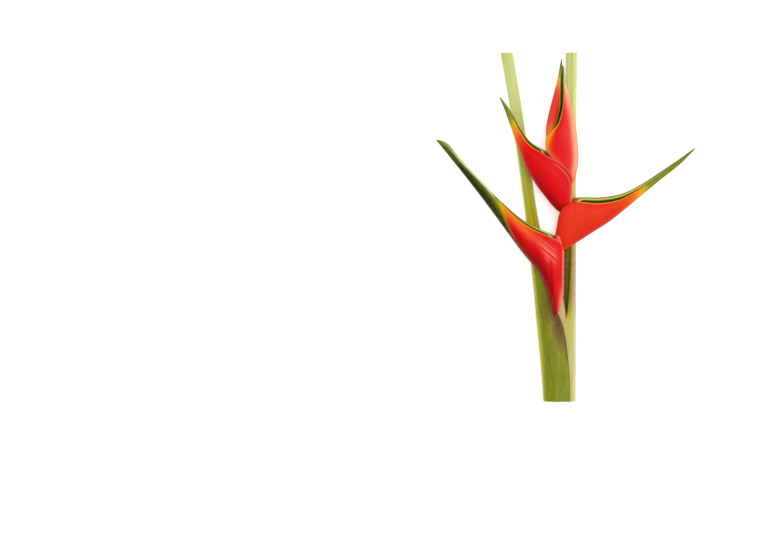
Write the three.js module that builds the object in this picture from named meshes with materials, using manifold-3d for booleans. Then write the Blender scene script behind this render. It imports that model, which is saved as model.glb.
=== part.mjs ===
import * as THREE from 'three';
import { ParametricGeometry } from 'three/addons/geometries/ParametricGeometry.js';
import { mergeVertices } from 'three/addons/utils/BufferGeometryUtils.js';
import Module from 'manifold-3d';

// A cut heliconia stem, lying on its back on the plane z = 0. Millimetres.
// x runs across the stem, y up along it from the cut end of the false stem, z away from the surface.
// The false stem is two leaf sheaths, one round the other. Each sheath narrows into a petiole, cut off above.
// The flower stalk comes up between the sheaths and carries five boat-shaped bracts, left and right in turn.

const CLEARANCE = 0.3; // between neighbours that touch
const STEM_LENGTH = 349.5; // from the cut end to the cut petioles
const SURFACE = 0; // what dips below this is pressed flat

const BRACT_WALL = 1.6;
const BRACT_STATIONS = 18; // along each bract
const HOLLOW_STATIONS = 14;
const FLANK_STEPS = 7; // from lip to keel
const STERN_LENGTH = 7; // the rounded end that clasps the stalk
const NOSE_LENGTH = 6; // the rounded tip
const HOLLOW_END = 0.85; // the share of a bract's length that its hollow reaches
const NECK = 7; // how far the hollow reaches out past the lips, so that it opens the boat

const RED = '#d8261f';
const STALK_GREEN = '#b5a33a';
const SHEATH_GREEN = '#8a9128';
const PETIOLE_GREEN = '#aab76a';

const wasm = await Module();
wasm.setup();

// ---------------------------------------------------------------- solids

function solidFrom( geometry ) {

	geometry.deleteAttribute( 'normal' );
	geometry.deleteAttribute( 'uv' );
	const merged = mergeVertices( geometry, 1e-4 );
	const position = merged.getAttribute( 'position' );
	const index = merged.getIndex().array;
	const corner = ( i ) => new THREE.Vector3().fromBufferAttribute( position, i );
	const triangles = [];
	let volume = 0;
	for ( let i = 0; i < index.length; i += 3 ) {

		const [ a, b, c ] = index.slice( i, i + 3 );
		if ( a === b || b === c || c === a ) continue;
		triangles.push( [ a, b, c ] );
		volume += corner( a ).dot( corner( b ).cross( corner( c ) ) ) / 6;

	}

	const outward = volume > 0 ? triangles : triangles.map( ( [ a, b, c ] ) => [ a, c, b ] );
	return new wasm.Manifold( new wasm.Mesh( {
		numProp: 3,
		vertProperties: position.array,
		triVerts: new Uint32Array( outward.flat() ),
	} ) );

}

// The closed skin through rows of points. Each row closes on itself, and the first and last rows fold flat.
function skin( rows ) {

	const stacks = rows.length - 1;
	const slices = rows[ 0 ].length;
	return solidFrom( new ParametricGeometry( ( u, v, target ) => {

		const row = rows[ Math.round( v * stacks ) ];
		target.copy( row[ Math.round( u * slices ) % slices ] );

	}, slices, stacks ) );

}

// What is left of a body once its neighbours are cut out of it, without loose scraps.
function carve( body, neighbours ) {

	const left = neighbours.reduce( ( rest, neighbour ) => rest.subtract( neighbour ), body );
	return left.decompose().sort( ( a, b ) => b.volume() - a.volume() )[ 0 ];

}

function meshOf( name, solid, color, roughness ) {

	const { vertProperties, triVerts } = solid.getMesh();
	const geometry = new THREE.BufferGeometry();
	geometry.setAttribute( 'position', new THREE.BufferAttribute( vertProperties, 3 ) );
	geometry.setIndex( new THREE.BufferAttribute( triVerts, 1 ) );
	geometry.computeVertexNormals();
	const mesh = new THREE.Mesh( geometry, new THREE.MeshStandardMaterial( { color, roughness, metalness: 0 } ) );
	mesh.name = name;
	return mesh;

}

// Values that change smoothly through stops, each stop being [ place, value, value, ... ].
function along( stops ) {

	const places = stops.map( ( stop ) => stop[ 0 ] );
	const values = stops.flatMap( ( stop ) => stop.slice( 1 ) );
	const curve = new THREE.CubicInterpolant( places, values, stops[ 0 ].length - 1 );
	return ( place ) => [ ...curve.evaluate( place ) ];

}

// ---------------------------------------------------------------- flower stalk

const STALK_SIDES = 12;
const STALK_STATIONS = 24;
const STALK = { // distance up the stem, then x and z of the axis, and the radius
	top: 259.5,
	run: along( [
		[ 0, - 0.5, 15, 6.5 ],
		[ 41.5, - 1.2, 16.5, 6.2 ],
		[ 71.5, - 2.7, 20, 5.8 ],
		[ 89.5, - 4, 23, 5.4 ],
		[ 111.5, - 6.4, 26, 4.6 ],
		[ 133.5, - 7.2, 28.5, 4.4 ],
		[ 151.5, - 6, 29.5, 4.4 ],
		[ 166.5, - 3.7, 30, 4.4 ],
		[ 186.5, 0.3, 30.3, 4.1 ],
		[ 203.5, 2.2, 30.3, 3.8 ],
		[ 218.5, 3.4, 30.3, 3.6 ],
		[ 236.5, 3, 30.3, 3.2 ],
		[ 251.5, 0, 30.3, 2.6 ],
		[ 259.5, - 2, 30.3, 1.2 ],
	] ),
};

function stalkSolid( grow ) {

	const rows = [];
	for ( let i = 0; i <= STALK_STATIONS; i ++ ) {

		const height = STALK.top * i / STALK_STATIONS;
		const [ x, z, radius ] = STALK.run( height );
		const y = height + ( i === 0 ? - grow : i === STALK_STATIONS ? grow : 0 );
		rows.push( Array.from( { length: STALK_SIDES }, ( _, side ) => {

			const angle = 2 * Math.PI * side / STALK_SIDES;
			return new THREE.Vector3( x + ( radius + grow ) * Math.cos( angle ), y,
				z + ( radius + grow ) * Math.sin( angle ) );

		} ) );

	}

	return skin( capped( rows ) );

}

// Flat ends: a row at each end that is folded onto the middle of the end row.
function capped( rows ) {

	const fold = ( row ) => {

		const centre = row.reduce( ( sum, point ) => sum.add( point ), new THREE.Vector3() ).divideScalar( row.length );
		return row.map( () => centre );

	};

	return [ fold( rows[ 0 ] ), ...rows, fold( rows[ rows.length - 1 ] ) ];

}

// ---------------------------------------------------------------- leaves

// A leaf is cut across at each distance up the stem. The cut is an ellipse (x, z, half width, half height)
// with a round channel in it (x, z, radius), and flesh from one angle round to the other, seen from the channel.
// Low down the channel is wide and the leaf is a sheath; high up it is a shallow groove in a round petiole.

const LEAF_STATIONS = 22;
const LEAF_STEPS = 14; // round each cut
const THIN_EDGE = 0.8;

const LEAF_RIGHT = along( [
	[ 0, 0, 15, 12, 11.6, - 0.5, 15, 6.85, 162, 498 ],
	[ 41.5, 0.3, 14.8, 11.8, 11.2, - 1.2, 16.5, 6.6, 154, 486 ],
	[ 71.5, 1.2, 13.9, 10.9, 10.2, - 2.2, 18.8, 6.4, 165, 435 ],
	[ 89.5, 2.5, 12.7, 9.6, 9, - 0.5, 17.6, 5.8, 174, 410 ],
	[ 111.5, 4, 11.1, 8, 7.8, 1.3, 15.4, 4.8, 178, 398 ],
	[ 139.5, 5.3, 9.5, 6.8, 6.6, 3.2, 13.2, 3.6, 180, 390 ],
	[ 176.5, 6, 8.3, 6, 5.9, 4.8, 12.3, 2.4, 180, 385 ],
	[ 231.5, 6.7, 7.3, 5.7, 5.6, 5.8, 11.7, 1.8, 180, 382 ],
	[ 291.5, 7, 6.7, 5.6, 5.6, 6.2, 11.2, 1.6, 180, 380 ],
	[ 349.5, 7.5, 5.5, 6, 5.9, 6.7, 10.7, 1.6, 180, 380 ],
] );

const LEAF_LEFT = along( [
	[ 0, - 6, 13.9, 14.5, 15, 0, 15, 12.3, 60, 300 ],
	[ 16, - 6.8, 13.9, 14.6, 15, 0, 14.9, 12.2, 62, 299 ],
	[ 32, - 7.95, 15.1, 14.75, 15, - 0.1, 14.8, 12.1, 66, 298 ],
	[ 56.5, - 10.2, 15.2, 14.8, 14.6, - 0.8, 14.8, 11.7, 74, 297 ],
	[ 76.5, - 12.75, 14.6, 14.25, 13.6, - 3.2, 16.3, 10.6, 79, 297 ],
	[ 89.5, - 15.15, 13.7, 13.15, 12.4, - 6, 17.4, 9.5, 91, 302 ],
	[ 111.5, - 18.85, 11.4, 11.35, 9.8, - 11, 16.5, 7.5, 112, 315 ],
	[ 136.5, - 23.5, 9.8, 9.5, 8, - 17.5, 14.5, 5.2, 118, 330 ],
	[ 161.5, - 28.5, 8.6, 7.5, 6.8, - 24.5, 13, 3.2, 122, 340 ],
	[ 196.5, - 34, 7.6, 6, 6, - 32, 12, 2, 128, 348 ],
	[ 251.5, - 41.85, 6.9, 5.85, 5.8, - 40.2, 11.2, 1.7, 130, 350 ],
	[ 301.5, - 49.5, 6.4, 6, 5.8, - 48, 10.8, 1.6, 130, 350 ],
	[ 349.5, - 57.5, 5.8, 6.5, 6.2, - 56, 10.9, 1.7, 130, 350 ],
] );

// How far it is from a point inside an ellipse to its edge, in one direction.
function reach( x, z, halfWidth, halfHeight, fromX, fromZ, angle ) {

	const dx = ( fromX - x ) / halfWidth;
	const dz = ( fromZ - z ) / halfHeight;
	const ux = Math.cos( angle ) / halfWidth;
	const uz = Math.sin( angle ) / halfHeight;
	const a = ux * ux + uz * uz;
	const b = dx * ux + dz * uz;
	const c = dx * dx + dz * dz - 1;
	return ( Math.sqrt( Math.max( b * b - a * c, 0 ) ) - b ) / a;

}

function leafRow( leaf, height ) {

	const [ x, z, halfWidth, halfHeight, channelX, channelZ, radius, first, last ] = leaf( height );
	const outside = [];
	const inside = [];
	for ( let i = 0; i <= LEAF_STEPS; i ++ ) {

		const angle = THREE.MathUtils.degToRad( THREE.MathUtils.lerp( first, last, i / LEAF_STEPS ) );
		const edge = reach( x, z, halfWidth, halfHeight, channelX, channelZ, angle );
		const at = ( far ) => new THREE.Vector3( channelX + far * Math.cos( angle ), height,
			Math.max( channelZ + far * Math.sin( angle ), SURFACE ) );
		outside.push( at( Math.max( edge, radius + THIN_EDGE ) ) );
		inside.push( at( radius ) );

	}

	return { outside, inside };

}

function leafSolid( leaf ) {

	const cuts = [];
	for ( let i = 0; i <= LEAF_STATIONS; i ++ ) {

		cuts.push( leafRow( leaf, STEM_LENGTH * i / LEAF_STATIONS ) );

	}

	const ring = ( { outside, inside } ) => [ ...outside, ...inside.toReversed() ];
	const fold = ( { outside, inside } ) => {

		const middle = outside.map( ( point, i ) => point.clone().lerp( inside[ i ], 0.5 ) );
		return [ ...middle, ...middle.toReversed() ];

	};

	return skin( [ fold( cuts[ 0 ] ), ...cuts.map( ring ), fold( cuts[ LEAF_STATIONS ] ) ] );

}

// A leaf's outer form without its channel, a little larger, to clear what lies round it.
function leafCore( leaf, grow ) {

	const rows = [];
	for ( let i = 0; i <= LEAF_STATIONS; i ++ ) {

		const height = STEM_LENGTH * i / LEAF_STATIONS;
		const [ x, z, halfWidth, halfHeight ] = leaf( height );
		const y = height + ( i === 0 ? - grow : i === LEAF_STATIONS ? grow : 0 );
		rows.push( Array.from( { length: 2 * LEAF_STEPS }, ( _, side ) => {

			const angle = Math.PI * side / LEAF_STEPS;
			return new THREE.Vector3( x + ( halfWidth + grow ) * Math.cos( angle ), y,
				z + ( halfHeight + grow ) * Math.sin( angle ) );

		} ) );

	}

	return skin( capped( rows ) );

}

// ---------------------------------------------------------------- bracts

// A bract is a boat. Its keel and its mouth are curves from the stalk to the tip. `form` gives, from stalk (0)
// to tip (1), the half beam, half the gap between the lips, and how far the near lip lies below the far one.

const BRACTS = {
	bract_1: {
		keel: [ [ 0, 97, 26 ], [ - 3.5, 88.5, 24.5 ], [ - 7.5, 86.5, 24 ], [ - 11.5, 99, 25 ], [ - 24, 126.5, 27 ], [ - 44, 152.5, 28 ],
			[ - 84, 206.5, 29 ], [ - 114, 244.5, 29 ], [ - 127.7, 261.2, 29 ] ],
		mouth: [ [ 0.3, 150, 30 ], [ - 4.3, 161, 31 ], [ - 15, 166.5, 32 ], [ - 39, 178.5, 32 ],
			[ - 64, 200, 31.5 ], [ - 104, 241.5, 30.5 ], [ - 117, 256, 30 ], [ - 126.8, 261.7, 29.3 ] ],
		form: [ [ 0, 8.2, 7, 1 ], [ 0.12, 8.8, 7, 1.5 ], [ 0.25, 9.4, 4, 2 ], [ 0.45, 7.8, 3, 1.6 ],
			[ 0.65, 5.2, 2.2, 1.2 ], [ 0.85, 3.2, 1.4, 0.8 ], [ 1, 1.6, 0.8, 0.3 ] ],
	},
	bract_2: {
		keel: [ [ - 3, 145.5, 28.5 ], [ 6, 155, 28 ], [ 26, 167.5, 28 ], [ 46, 180.5, 28 ],
			[ 66, 196.5, 28 ], [ 96, 221.5, 28 ], [ 116, 237.5, 28 ], [ 130.6, 252.5, 28 ] ],
		mouth: [ [ - 5.5, 185.5, 30.5 ], [ - 1, 194.5, 31 ], [ 9, 200.8, 31.5 ], [ 36, 200.9, 31.5 ],
			[ 56, 204.5, 31 ], [ 76, 213.7, 30.5 ], [ 96, 226, 30 ], [ 116, 240, 29 ], [ 131, 253.5, 28.2 ] ],
		form: [ [ 0, 6.4, 5.6, 0.8 ], [ 0.12, 8, 6.6, 1.4 ], [ 0.25, 9.2, 4.6, 2.4 ], [ 0.4, 7.6, 3.6, 2.4 ],
			[ 0.55, 4.6, 2.6, 1.8 ], [ 0.8, 2.8, 1.3, 1 ], [ 1, 1.2, 0.5, 0.3 ] ],
	},
	bract_3: {
		keel: [ [ 7.7, 199, 29.5 ], [ 2, 188, 29 ], [ - 5, 189.8, 28.5 ], [ - 19, 205, 28 ], [ - 34, 226.5, 28 ],
			[ - 44, 249.5, 28 ], [ - 54, 276.5, 28.5 ], [ - 60.5, 294.5, 29 ], [ - 64.7, 304, 29 ] ],
		mouth: [ [ 9.8, 218, 30.5 ], [ 6, 230, 31 ], [ - 4, 240, 31.5 ], [ - 19, 248.5, 32 ],
			[ - 34, 258, 32 ], [ - 44, 270.5, 31.5 ], [ - 54, 285.7, 31 ], [ - 61, 297, 30 ], [ - 64.2, 304.3, 29.2 ] ],
		form: [ [ 0, 6, 5.4, 0.6 ], [ 0.12, 8, 6.8, 1.2 ], [ 0.3, 9.6, 5.6, 2 ], [ 0.5, 7.6, 3.4, 1.8 ],
			[ 0.7, 4.6, 1.8, 1.2 ], [ 0.87, 2.4, 1, 0.7 ], [ 1, 1, 0.4, 0.2 ] ],
	},
	bract_4: {
		keel: [ [ 8, 213.5, 29.5 ], [ 11.5, 225, 29 ], [ 14.3, 238.5, 29 ], [ 14, 256.5, 29 ],
			[ 11, 280.5, 29 ], [ 6, 302.5, 29.5 ], [ 2, 317.5, 30 ], [ - 0.8, 336.3, 30 ] ],
		mouth: [ [ - 17.5, 248.5, 31 ], [ - 18, 261.5, 32 ], [ - 13, 269.5, 32.5 ], [ - 7, 277.5, 32.5 ],
			[ - 2.5, 293.5, 32 ], [ - 1.2, 309.5, 31.5 ], [ - 1.4, 323.5, 31 ], [ - 1.1, 335.7, 30.2 ] ],
		form: [ [ 0, 6, 4.6, 0.6 ], [ 0.15, 7.4, 5.6, 1 ], [ 0.35, 8.4, 5.2, 1.2 ], [ 0.6, 6.8, 3.6, 1 ],
			[ 0.8, 4, 1.6, 0.7 ], [ 1, 1.2, 0.4, 0.2 ] ],
	},
	bract_5: {
		keel: [ [ - 8, 251.5, 30 ], [ - 14.5, 265.5, 30 ], [ - 16.2, 278.5, 30 ], [ - 14, 291.5, 30 ],
			[ - 10.5, 306.5, 30 ], [ - 7, 320.5, 30 ], [ - 4.5, 334, 30 ], [ - 2.8, 342.7, 30 ] ],
		mouth: [ [ 2, 253.5, 30.5 ], [ 5, 271.5, 30.5 ], [ 4, 291.5, 30.5 ], [ 1, 309.5, 30.5 ],
			[ - 1.7, 324.5, 30.5 ], [ - 2.1, 341.5, 30.2 ] ],
		form: [ [ 0, 4.6, 2, 0 ], [ 0.25, 5.4, 2, 0 ], [ 0.5, 5.2, 1.8, 0 ], [ 0.8, 3.2, 1, 0 ], [ 1, 1, 0.3, 0 ] ],
	},
};

// The curve through points, and past its start in a straight line.
function runOf( points ) {

	const curve = new THREE.CatmullRomCurve3( points.map( ( point ) => new THREE.Vector3( ...point ) ), false, 'centripetal' );
	const length = curve.getLength();
	const start = curve.getPointAt( 0 );
	const heading = curve.getTangentAt( 0 );
	return {
		length,
		at: ( t ) => t < 0 ? start.clone().addScaledVector( heading, t * length ) : curve.getPointAt( Math.min( t, 1 ) ),
	};

}

// One cut across a bract, as rows of points from the near lip round the keel to the far lip.
// `inset` thins it on all sides, and `neck` carries both edges out past the lips.
function bractRow( bract, t, inset, neck ) {

	const keel = bract.keelRun.at( t );
	const mouth = bract.mouthRun.at( t );
	const down = keel.clone().sub( mouth );
	const depth = down.length() - 1.3 * inset;
	down.normalize();
	const out = new THREE.Vector3( 0, 0, 1 ).addScaledVector( down, - down.z ).normalize();

	const [ fullBeam, fullGap, fullDrop ] = bract.form( THREE.MathUtils.clamp( t, 0, 1 ) );
	const length = bract.keelRun.length;
	const stern = Math.min( ( t * length - inset ) / STERN_LENGTH, 1 );
	const nose = Math.min( ( 1 - t ) * length / NOSE_LENGTH, 1 );
	const swell = Math.sqrt( Math.max( 1 - ( 1 - stern ) ** 2, 0 ) * Math.max( 1 - ( 1 - nose ) ** 2, 0 ) );
	const beam = Math.max( fullBeam - inset, 0.2 ) * swell;
	const gap = Math.max( fullGap - 0.8 * inset, 0.15 ) * swell;
	const drop = fullDrop * swell;
	const belly = ( beam - gap / 8 ) / 0.75;

	const point = ( across, side ) => mouth.clone().addScaledVector( down, across ).addScaledVector( out, side );
	const flank = ( side ) => Array.from( { length: FLANK_STEPS + 1 }, ( _, i ) => {

		const s = i / FLANK_STEPS;
		const r = 1 - s;
		const across = side * drop * r ** 3 + depth * ( 0.36 * s * r * r + 2.7 * s * s * r + s ** 3 );
		return point( across, side * ( gap * r ** 3 + 3 * belly * s * r ) );

	} );

	const near = flank( 1 );
	const far = flank( - 1 );
	if ( neck ) {

		near.unshift( point( - neck, gap ) );
		far.unshift( point( - neck, - gap ) );

	}

	return [ ...near, ...far.reverse().slice( 1 ) ];

}

// A bract's whole outer form, larger by `grow`.
function bractForm( bract, grow ) {

	const from = - grow / bract.keelRun.length;
	const rows = [];
	for ( let i = 0; i <= BRACT_STATIONS; i ++ ) {

		rows.push( bractRow( bract, from + ( 1 - from ) * ( i / BRACT_STATIONS ) ** 1.5, - grow, 0 ) );

	}

	return skin( rows );

}

// The hollow of a bract, from its stern wall to where the two flanks meet.
function bractHollow( bract ) {

	const from = BRACT_WALL / bract.keelRun.length;
	const rows = [];
	for ( let i = 0; i <= HOLLOW_STATIONS; i ++ ) {

		const t = THREE.MathUtils.lerp( from, HOLLOW_END, ( i / HOLLOW_STATIONS ) ** 1.5 );
		rows.push( bractRow( bract, t, BRACT_WALL, NECK ) );

	}

	return skin( capped( rows ) );

}

for ( const bract of Object.values( BRACTS ) ) {

	bract.keelRun = runOf( bract.keel );
	bract.mouthRun = runOf( bract.mouth );
	bract.form = along( bract.form );

}

// ---------------------------------------------------------------- the stem

const stalk = stalkSolid( 0 );
const roomForStalk = stalkSolid( CLEARANCE );
const names = Object.keys( BRACTS );
const bractSolids = names.map( ( name, i ) => {

	const bract = BRACTS[ name ];
	const form = bractForm( bract, 0 );
	const isBud = i === names.length - 1;
	const boat = isBud ? form : form.subtract( bractHollow( bract ) );
	const next = isBud ? [] : [ bractForm( BRACTS[ names[ i + 1 ] ], CLEARANCE ) ];
	return carve( boat, [ roomForStalk, ...next ] );

} );
const roomForBract = bractForm( BRACTS.bract_1, CLEARANCE );
const leafRight = carve( leafSolid( LEAF_RIGHT ), [ roomForStalk, roomForBract ] );
const leafLeft = carve( leafSolid( LEAF_LEFT ), [ leafCore( LEAF_RIGHT, CLEARANCE ), roomForStalk, roomForBract ] );

const heliconia = new THREE.Group();
heliconia.add( meshOf( 'flower_stalk', stalk, STALK_GREEN, 0.5 ) );
names.forEach( ( name, i ) => heliconia.add( meshOf( name, bractSolids[ i ], RED, 0.4 ) ) );
heliconia.add( meshOf( 'leaf_left', leafLeft, SHEATH_GREEN, 0.5 ) );
heliconia.add( meshOf( 'leaf_right', leafRight, PETIOLE_GREEN, 0.5 ) );

// The origin is under the middle of the stem.
const box = new THREE.Box3().setFromObject( heliconia );
heliconia.position.set( - ( box.min.x + box.max.x ) / 2, - ( box.min.y + box.max.y ) / 2, - box.min.z );
heliconia.updateMatrixWorld( true );

export default heliconia;
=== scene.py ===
import math
from collections import namedtuple

import bmesh
import bpy
from mathutils import Matrix, Vector
from mathutils.geometry import interpolate_bezier


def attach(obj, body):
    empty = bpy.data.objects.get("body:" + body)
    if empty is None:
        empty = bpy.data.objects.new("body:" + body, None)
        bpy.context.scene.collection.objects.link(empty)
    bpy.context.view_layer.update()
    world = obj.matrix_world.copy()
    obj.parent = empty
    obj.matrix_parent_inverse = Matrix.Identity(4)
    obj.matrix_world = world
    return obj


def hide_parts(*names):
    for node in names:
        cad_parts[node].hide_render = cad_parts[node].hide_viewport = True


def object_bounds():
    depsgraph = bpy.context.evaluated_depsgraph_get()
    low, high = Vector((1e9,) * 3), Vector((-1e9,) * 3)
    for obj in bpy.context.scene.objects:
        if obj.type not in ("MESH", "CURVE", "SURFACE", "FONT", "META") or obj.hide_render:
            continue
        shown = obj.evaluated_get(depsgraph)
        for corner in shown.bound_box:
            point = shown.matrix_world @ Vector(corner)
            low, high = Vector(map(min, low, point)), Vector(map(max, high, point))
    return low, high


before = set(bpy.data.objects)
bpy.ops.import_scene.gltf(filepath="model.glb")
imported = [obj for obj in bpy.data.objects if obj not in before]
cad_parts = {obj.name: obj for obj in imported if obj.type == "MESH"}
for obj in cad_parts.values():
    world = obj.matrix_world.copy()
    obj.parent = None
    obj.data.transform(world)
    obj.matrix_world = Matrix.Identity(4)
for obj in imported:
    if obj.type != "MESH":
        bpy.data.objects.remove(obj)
cad_low, cad_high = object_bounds()


# ---- Camera -----------------------------------------------------------------------------------------------
# The cut stem lies on its back and is looked down on. A long lens hangs straight above the stem's middle
# and is turned a few degrees, so that the stem stands right of the middle of the picture.

MM = 0.001
LENS = 150
SENSOR_WIDTH = 36
FARTHEST_SEEN = 40
BRACT_LEVEL = 24 * MM
VIEW_WIDTH = 765 * MM  # how much of the bracts' level the picture spans
STEM_IN_VIEW = Vector((183.0, 44.75)) * MM  # from the picture's middle to the stem's, on the bracts' level

camera_data = bpy.data.cameras.new("camera")
camera_data.lens = LENS
camera_data.sensor_width = SENSOR_WIDTH
camera_data.clip_end = FARTHEST_SEEN
camera = bpy.data.objects.new("camera", camera_data)
bpy.context.scene.collection.objects.link(camera)
bpy.context.scene.camera = camera

lens_height = VIEW_WIDTH * LENS / SENSOR_WIDTH
backwards = Vector((STEM_IN_VIEW.x, STEM_IN_VIEW.y, lens_height)).normalized()
rightwards = Vector((0, 1, 0)).cross(backwards).normalized()
upwards = backwards.cross(rightwards)
camera.matrix_world = Matrix.Translation((0, 0, BRACT_LEVEL + lens_height)) @ Matrix(
    (rightwards, upwards, backwards)).transposed().to_4x4()


# ---- Floor and studio light -------------------------------------------------------------------------------
# A wide pale sheet that the stem lies on, lit a little from below as on a light table, under a large soft
# light overhead, a softer one from the right and a white room. The lights stay out of the camera's sight.

FLOOR_SIZE = 60
FLOOR_COLOUR = (0.96, 0.96, 0.96, 1)
FLOOR_GLOW = 0.3
WHITE = (1, 1, 1, 1)
ROOM_SKY = ((0.0, 1.0), (0.45, 0.95), (1.0, 0.42))  # brightness of the room from the horizon to overhead
ROOM_STRENGTH = 0.95
LIGHTS = {  # place, width and height, and power
    "light_overhead": ((0.3, 0.15, 2.4), (1.2, 1.2), 39),
    "light_strip": ((1.5, 0.2, 0.6), (0.2, 1.3), 7),
}


def tint(red, green, blue):
    """A colour named in screen values from 0 to 255, as the shader wants it."""
    return tuple((v / 255 / 12.92 if v <= 10 else ((v / 255 + 0.055) / 1.055) ** 2.4)
                 for v in (red, green, blue)) + (1,)


def principled(name, **settings):
    """A new material with nodes, and its shader."""
    material = bpy.data.materials.new(name)
    material.use_nodes = True
    shader = material.node_tree.nodes["Principled BSDF"]
    for setting, value in settings.items():
        shader.inputs[setting.replace("_", " ")].default_value = value
    return material, shader


def add_node(tree, kind, inputs, **settings):
    """A shader node with its settings, and its inputs set to values or joined to other nodes."""
    node = tree.nodes.new("ShaderNode" + kind)
    for setting, value in settings.items():
        setattr(node, setting, value)
    for key, value in inputs.items():
        if isinstance(value, bpy.types.NodeSocket):
            tree.links.new(value, node.inputs[key])
        else:
            node.inputs[key].default_value = value
    return node


def ramp(tree, place, stops):
    """A colour that changes with a value, through stops of (value, colour)."""
    node = add_node(tree, "ValToRGB", {"Fac": place})
    elements = node.color_ramp.elements
    while len(elements) < len(stops):
        elements.new(0.5)
    for element, (position, colour) in zip(elements, stops):
        element.position = position
        element.color = colour
    return node.outputs["Color"]


def add_object(name, bm):
    """The object at the origin that holds a finished bmesh."""
    mesh = bpy.data.meshes.new(name)
    bm.to_mesh(mesh)
    bm.free()
    obj = bpy.data.objects.new(name, mesh)
    bpy.context.scene.collection.objects.link(obj)
    return obj


floor_mesh = bmesh.new()
bmesh.ops.create_grid(floor_mesh, x_segments=1, y_segments=1, size=FLOOR_SIZE / 2)
floor = add_object("floor", floor_mesh)
floor_material, _ = principled("pale_sheet", Base_Color=FLOOR_COLOUR, Roughness=0.9,
                               Emission_Color=WHITE, Emission_Strength=FLOOR_GLOW)
floor.data.materials.append(floor_material)

world = bpy.data.worlds.new("white_room")
world.use_nodes = True
tree = world.node_tree
upright = add_node(tree, "SeparateXYZ", {"Vector": add_node(tree, "TexCoord", {}).outputs["Generated"]})
sky = ramp(tree, upright.outputs["Z"], [(place, (light, light, light, 1)) for place, light in ROOM_SKY])
tree.links.new(sky, tree.nodes["Background"].inputs["Color"])
tree.nodes["Background"].inputs["Strength"].default_value = ROOM_STRENGTH
bpy.context.scene.world = world
bpy.context.scene.view_settings.view_transform = "Standard"

for light_name, (place, size, power) in LIGHTS.items():
    light_data = bpy.data.lights.new(light_name, "AREA")
    light_data.shape = "RECTANGLE"
    light_data.size, light_data.size_y = size
    light_data.energy = power
    light = bpy.data.objects.new(light_name, light_data)
    light.location = place
    light.rotation_euler = Vector(place).to_track_quat("Z", "Y").to_euler()
    light.visible_camera = False
    bpy.context.scene.collection.objects.link(light)


# ---- Flower stalk -----------------------------------------------------------------------------------------
# The one living rod that the bracts grow from. It comes up between the leaf sheaths, cream at first and
# red above, and bends left and right from bract to bract. Its cut end shows inside the false stem.

STEM_OFF_MIDDLE = -1.5 * MM  # the false stem's axis runs a little left of the flower head's middle
STEM_AXIS_X = (cad_low.x + cad_high.x) / 2 + STEM_OFF_MIDDLE
CUT_END_Y = cad_low.y
SAME_POINT = 0.002 * MM
CREASE = math.radians(50)
CUT_FACES_ALONG = 0.95  # a face that looks this squarely up or down the stem is a knife cut
STALK_TOP = 259.5
STALK_REDDENS = (84, 128)  # where up the stem it turns from cream to red
STALK_RIBS = 9
RIB_HEIGHT = 0.012  # as a share of the stalk's radius
RIBS_RISE = (0, 20)
STALK_GRAIN = 14
STALK_AROUND = 48
STALK_ROWS = 150
STALK_STOPS = [  # distance up the stem, then x and z of the axis, and the radius, in millimetres
    (0, -0.5, 15, 6.5), (41.5, -1.2, 16.5, 6.2), (71.5, -2.7, 20, 5.8), (89.5, -4, 23, 5.4),
    (111.5, -6.4, 26, 4.6), (133.5, -7.2, 28.5, 4.4), (151.5, -6, 29.5, 4.4), (166.5, -3.7, 30, 4.4),
    (186.5, 0.3, 30.3, 4.1), (203.5, 2.2, 30.3, 3.8), (218.5, 3.4, 30.3, 3.6), (236.5, 3, 30.3, 3.2),
    (251.5, 0, 30.3, 2.6), (259.5, -2, 30.3, 1.2),
]


def in_frame(x, y, z):
    """A point of the stem, given in millimetres from its cut end, in the frame."""
    return Vector((STEM_AXIS_X + x * MM, CUT_END_Y + y * MM, z * MM))


def along(stops):
    """Values that change smoothly through stops, each stop being (place, value, value, ...)."""
    places = [stop[0] for stop in stops]

    def at(place):
        i = max(1, min(len(stops) - 1, next((n for n, p in enumerate(places) if p > place), len(stops) - 1)))
        before = i - 2 if i > 1 else i
        after = i + 1 if i + 1 < len(stops) else i - 1
        span = places[i] - places[i - 1]
        slope_before = span / (places[i - 1] - places[before]) / 2
        slope_after = span / (places[after] - places[i]) / 2
        p = (place - places[i - 1]) / span
        values = []
        for k in range(1, len(stops[0])):
            low, high = stops[i - 1][k], stops[i][k]
            leave = (high - low) / 2 + (low - stops[before][k]) * slope_before
            arrive = (high - low) / 2 + (stops[after][k] - high) * slope_after
            values.append(low + (high - low) * p * p * (3 - 2 * p)
                          + leave * p * (p - 1) ** 2 + arrive * p * p * (p - 1))
        return values

    return at


def smoothstep(low, high, value):
    """How far a value has come from low (0) to high (1), eased at both ends."""
    share = max(0, min(1, (value - low) / (high - low)))
    return share * share * (3 - 2 * share)


def wrapped_grid(name, around, rows, place):
    """A skin: a grid whose columns go round the piece. An end is closed where place folds its row shut.

    place(row, column) gives a point, where the point is in the grain, and its three tones."""
    bm = bmesh.new()
    grain = bm.verts.layers.float_vector.new("grain")
    tones = bm.verts.layers.float_vector.new("tones")
    bmesh.ops.create_grid(bm, x_segments=around, y_segments=rows, size=0.5)
    for vertex in bm.verts:
        column = round((vertex.co.x + 0.5) * around) % around
        row = round((vertex.co.y + 0.5) * rows)
        vertex.co, vertex[grain], vertex[tones] = place(row, column)
    bmesh.ops.remove_doubles(bm, verts=bm.verts, dist=SAME_POINT)
    bmesh.ops.dissolve_degenerate(bm, dist=SAME_POINT / 2, edges=bm.edges)
    bmesh.ops.recalc_face_normals(bm, faces=bm.faces)
    for face in bm.faces:
        face.smooth = True
        face.material_index = int(abs(face.normal.y) > CUT_FACES_ALONG)
    for edge in bm.edges:
        edge.smooth = edge.calc_face_angle(0) < CREASE
    return add_object(name, bm)


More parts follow.
